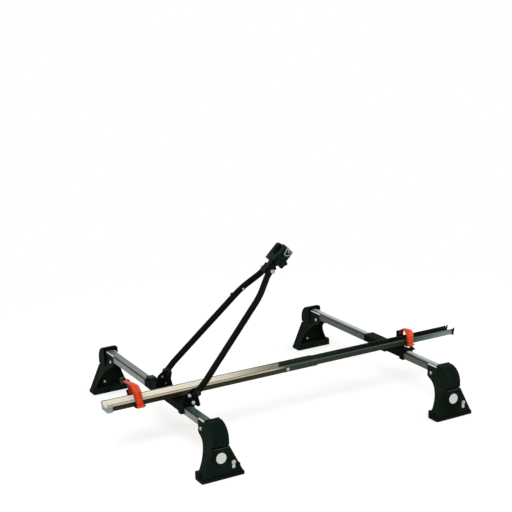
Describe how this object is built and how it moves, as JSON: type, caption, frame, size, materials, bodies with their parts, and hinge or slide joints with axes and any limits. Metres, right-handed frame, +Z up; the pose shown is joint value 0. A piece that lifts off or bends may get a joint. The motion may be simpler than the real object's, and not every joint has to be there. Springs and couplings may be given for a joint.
{
  "type": "bike carrier",
  "caption": "Roof bike carrier: two crossbars on lockable feet, a wheel tray with straps, and a folding arm with a frame clamp.",
  "frame": {"origin": "bottom centre of the whole carrier's box, at the height of the roof under the four pads", "axes": "+X along the tray towards its rear end, +Y along the crossbars towards the far side, +Z up"},
  "size_m": [1.289, 0.926, 0.5789],
  "materials": {
    "bar_paint": "satin grey paint",
    "index_strip": "bright strip",
    "foot_steel": "satin black paint",
    "pad_rubber": "moulded",
    "cap_plastic": "satin moulded",
    "lock_metal": "polished",
    "claw_steel": "zinc plated",
    "bolt_steel": "zinc plated",
    "tray_front_paint": "pale satin",
    "tray_rear_paint": "dark green satin",
    "end_cap_grey": "moulded",
    "end_cap_black": "moulded",
    "bracket_paint": "satin black paint",
    "leg_paint": "gloss black paint",
    "clamp_plastic": "moulded",
    "liner_rubber": "moulded",
    "knob_plastic": "moulded",
    "strap_red": "moulded orange-red",
    "buckle_plastic": "moulded"
  },
  "bodies": {
    "carrier": {"front_crossbar": "bar_paint", "rear_crossbar": "bar_paint", "bar_index_strips": "index_strip", "tray_front_half": "tray_front_paint", "tray_rear_half": "tray_rear_paint", "tray_front_cap": "end_cap_grey", "tray_rear_cap": "end_cap_black", "arm_bracket": "bracket_paint", "rear_bracket": "bracket_paint", "bracket_clamp_plates": "bracket_paint", "bracket_bolts": "bolt_steel", "dome_screws": "bolt_steel", "hex_nuts": "bolt_steel", "leg_pivot_bolts": "bolt_steel", "front_buckle": "buckle_plastic", "rear_buckle": "buckle_plastic", "front_near_foot_body": "foot_steel", "front_near_foot_pad": "pad_rubber", "front_near_foot_cap": "cap_plastic", "front_far_foot_body": "foot_steel", "front_far_foot_pad": "pad_rubber", "front_far_foot_cap": "cap_plastic", "rear_near_foot_body": "foot_steel", "rear_near_foot_pad": "pad_rubber", "rear_near_foot_cap": "cap_plastic", "rear_far_foot_body": "foot_steel", "rear_far_foot_pad": "pad_rubber", "rear_far_foot_cap": "cap_plastic"},
    "arm": {"near_leg": "leg_paint", "far_leg": "leg_paint", "leg_joint_screw": "bolt_steel", "clamp_pivot_bolt": "bolt_steel"},
    "clamp": {"clamp_body": "clamp_plastic", "fixed_jaw_liner": "liner_rubber"},
    "jaw": {"moving_jaw": "clamp_plastic", "moving_jaw_liner": "liner_rubber"},
    "knob": {"clamp_knob": "knob_plastic", "clamp_screw": "bolt_steel"},
    "front_strap": {"front_strap": "strap_red", "front_strap_grip": "buckle_plastic"},
    "rear_strap": {"rear_strap": "strap_red"},
    "front_lever": {"front_buckle_lever": "buckle_plastic"},
    "rear_lever": {"rear_buckle_lever": "buckle_plastic"},
    "front_near_cover": {"front_near_foot_cover": "cap_plastic"},
    "front_near_lock": {"front_near_cover_lock": "lock_metal"},
    "front_near_claw": {"front_near_clamp_claw": "claw_steel"},
    "front_near_bolt": {"front_near_claw_bolt": "bolt_steel"},
    "front_far_cover": {"front_far_foot_cover": "cap_plastic"},
    "front_far_lock": {"front_far_cover_lock": "lock_metal"},
    "front_far_claw": {"front_far_clamp_claw": "claw_steel"},
    "front_far_bolt": {"front_far_claw_bolt": "bolt_steel"},
    "rear_near_cover": {"rear_near_foot_cover": "cap_plastic"},
    "rear_near_lock": {"rear_near_cover_lock": "lock_metal"},
    "rear_near_claw": {"rear_near_clamp_claw": "claw_steel"},
    "rear_near_bolt": {"rear_near_claw_bolt": "bolt_steel"},
    "rear_far_cover": {"rear_far_foot_cover": "cap_plastic"},
    "rear_far_lock": {"rear_far_cover_lock": "lock_metal"},
    "rear_far_claw": {"rear_far_clamp_claw": "claw_steel"},
    "rear_far_bolt": {"rear_far_claw_bolt": "bolt_steel"}
  },
  "joints": [
    {"name": "arm_fold", "type": "hinge", "parent": "carrier", "child": "arm", "pos_m": [-0.389, -0.14, 0.197], "axis": [0, 1, 0], "range_deg": [-45, 36]},
    {"name": "clamp_tilt", "type": "hinge", "parent": "arm", "child": "clamp", "pos_m": [-0.06873, -0.14, 0.50306], "axis": [0, 1, 0], "range_deg": [-30, 30]},
    {"name": "jaw_slide", "type": "slide", "parent": "clamp", "child": "jaw", "axis": [0, -1, 0], "range_m": [-0.004, 0.014]},
    {"name": "knob_turn", "type": "hinge", "parent": "jaw", "child": "knob", "pos_m": [-0.03981, -0.14, 0.5307], "axis": [0, -1, 0], "range_deg": [-480.1, 1680.1]},
    {"name": "front_strap_swing", "type": "hinge", "parent": "carrier", "child": "front_strap", "pos_m": [-0.54, -0.171, 0.15795], "axis": [1, 0, 0], "range_deg": [0, 110]},
    {"name": "front_lever_press", "type": "hinge", "parent": "carrier", "child": "front_lever", "pos_m": [-0.54315, -0.1062, 0.1767], "axis": [-1, 0, 0], "range_deg": [0, 40]},
    {"name": "rear_strap_swing", "type": "hinge", "parent": "carrier", "child": "rear_strap", "pos_m": [0.45, -0.171, 0.15955], "axis": [1, 0, 0], "range_deg": [0, 70]},
    {"name": "rear_lever_press", "type": "hinge", "parent": "carrier", "child": "rear_lever", "pos_m": [0.45064, -0.1062, 0.1767], "axis": [-1, 0, 0], "range_deg": [0, 40]},
    {"name": "front_near_cover_open", "type": "hinge", "parent": "carrier", "child": "front_near_cover", "pos_m": [-0.414, -0.4525, 0.0925], "axis": [-1, 0, 0], "range_deg": [0, 70]},
    {"name": "front_near_lock_turn", "type": "hinge", "parent": "front_near_cover", "child": "front_near_lock", "pos_m": [-0.38, -0.456, 0.046], "axis": [0, -1, 0], "range_deg": [0, 90]},
    {"name": "front_near_claw_slide", "type": "slide", "parent": "carrier", "child": "front_near_claw", "axis": [0, -1, 0], "range_m": [0, 0.005]},
    {"name": "front_near_bolt_turn", "type": "hinge", "parent": "front_near_claw", "child": "front_near_bolt", "pos_m": [-0.392, -0.4458, 0.038], "axis": [0, -1, 0], "range_deg": [0, 1440.1]},
    {"name": "front_far_cover_open", "type": "hinge", "parent": "carrier", "child": "front_far_cover", "pos_m": [-0.414, 0.4525, 0.0925], "axis": [1, 0, 0], "range_deg": [0, 70]},
    {"name": "front_far_lock_turn", "type": "hinge", "parent": "front_far_cover", "child": "front_far_lock", "pos_m": [-0.448, 0.456, 0.046], "axis": [0, 1, 0], "range_deg": [0, 90]},
    {"name": "front_far_claw_slide", "type": "slide", "parent": "carrier", "child": "front_far_claw", "axis": [0, 1, 0], "range_m": [0, 0.005]},
    {"name": "front_far_bolt_turn", "type": "hinge", "parent": "front_far_claw", "child": "front_far_bolt", "pos_m": [-0.436, 0.4458, 0.038], "axis": [0, 1, 0], "range_deg": [0, 1440.1]},
    {"name": "rear_near_cover_open", "type": "hinge", "parent": "carrier", "child": "rear_near_cover", "pos_m": [0.414, -0.4525, 0.0925], "axis": [-1, 0, 0], "range_deg": [0, 70]},
    {"name": "rear_near_lock_turn", "type": "hinge", "parent": "rear_near_cover", "child": "rear_near_lock", "pos_m": [0.448, -0.456, 0.046], "axis": [0, -1, 0], "range_deg": [0, 90]},
    {"name": "rear_near_claw_slide", "type": "slide", "parent": "carrier", "child": "rear_near_claw", "axis": [0, -1, 0], "range_m": [0, 0.005]},
    {"name": "rear_near_bolt_turn", "type": "hinge", "parent": "rear_near_claw", "child": "rear_near_bolt", "pos_m": [0.436, -0.4458, 0.038], "axis": [0, -1, 0], "range_deg": [0, 1440.1]},
    {"name": "rear_far_cover_open", "type": "hinge", "parent": "carrier", "child": "rear_far_cover", "pos_m": [0.414, 0.4525, 0.0925], "axis": [1, 0, 0], "range_deg": [0, 70]},
    {"name": "rear_far_lock_turn", "type": "hinge", "parent": "rear_far_cover", "child": "rear_far_lock", "pos_m": [0.38, 0.456, 0.046], "axis": [0, 1, 0], "range_deg": [0, 90]},
    {"name": "rear_far_claw_slide", "type": "slide", "parent": "carrier", "child": "rear_far_claw", "axis": [0, 1, 0], "range_m": [0, 0.005]},
    {"name": "rear_far_bolt_turn", "type": "hinge", "parent": "rear_far_claw", "child": "rear_far_bolt", "pos_m": [0.392, 0.4458, 0.038], "axis": [0, 1, 0], "range_deg": [0, 1440.1]}
  ],
  "couplings": [
    {"joint": "knob_turn", "follows": "jaw_slide", "rad_per_m": 2094.4},
    {"joint": "front_near_bolt_turn", "follows": "front_near_claw_slide", "rad_per_m": 5026.5},
    {"joint": "front_far_bolt_turn", "follows": "front_far_claw_slide", "rad_per_m": 5026.5},
    {"joint": "rear_near_bolt_turn", "follows": "rear_near_claw_slide", "rad_per_m": 5026.5},
    {"joint": "rear_far_bolt_turn", "follows": "rear_far_claw_slide", "rad_per_m": 5026.5}
  ]
}
